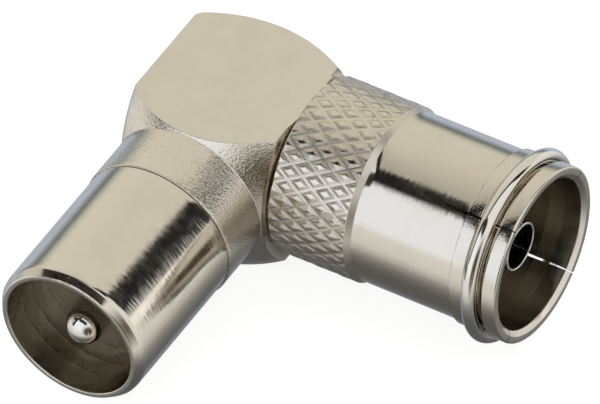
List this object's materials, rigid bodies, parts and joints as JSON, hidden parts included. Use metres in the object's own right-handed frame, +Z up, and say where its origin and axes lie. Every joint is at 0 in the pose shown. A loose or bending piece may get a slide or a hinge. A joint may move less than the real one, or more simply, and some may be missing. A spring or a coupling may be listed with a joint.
{
  "type": "coax adapter",
  "caption": "Right-angle coaxial aerial adapter in nickel-plated metal: a round plug on one leg and a spring-fingered socket with a knurled collar on the other.",
  "frame": {"origin": "on the block's flat underside, straight below the point where the plug's and the socket's axes cross", "axes": "the plug points along -Y and the socket along +X, both level; +Z is up, square to the block's flats"},
  "size_m": [0.0251, 0.0247, 0.0121],
  "materials": {
    "cast_nickel": "nickel-plated die casting, flats smooth, other faces finely pitted",
    "turned_nickel": "nickel plate over turned metal, fine marks running round it",
    "bright_nickel": "bright nickel plate, nearly a mirror",
    "natural_plastic": "plain moulded insulator"
  },
  "bodies": {
    "root": {"elbow_body": "cast_nickel", "plug_shell": "turned_nickel", "plug_insulator": "natural_plastic", "plug_pin": "bright_nickel", "socket_shell": "turned_nickel", "spring_ring": "bright_nickel", "socket_insulator": "natural_plastic", "socket_contact": "bright_nickel"}
  },
  "joints": []
}
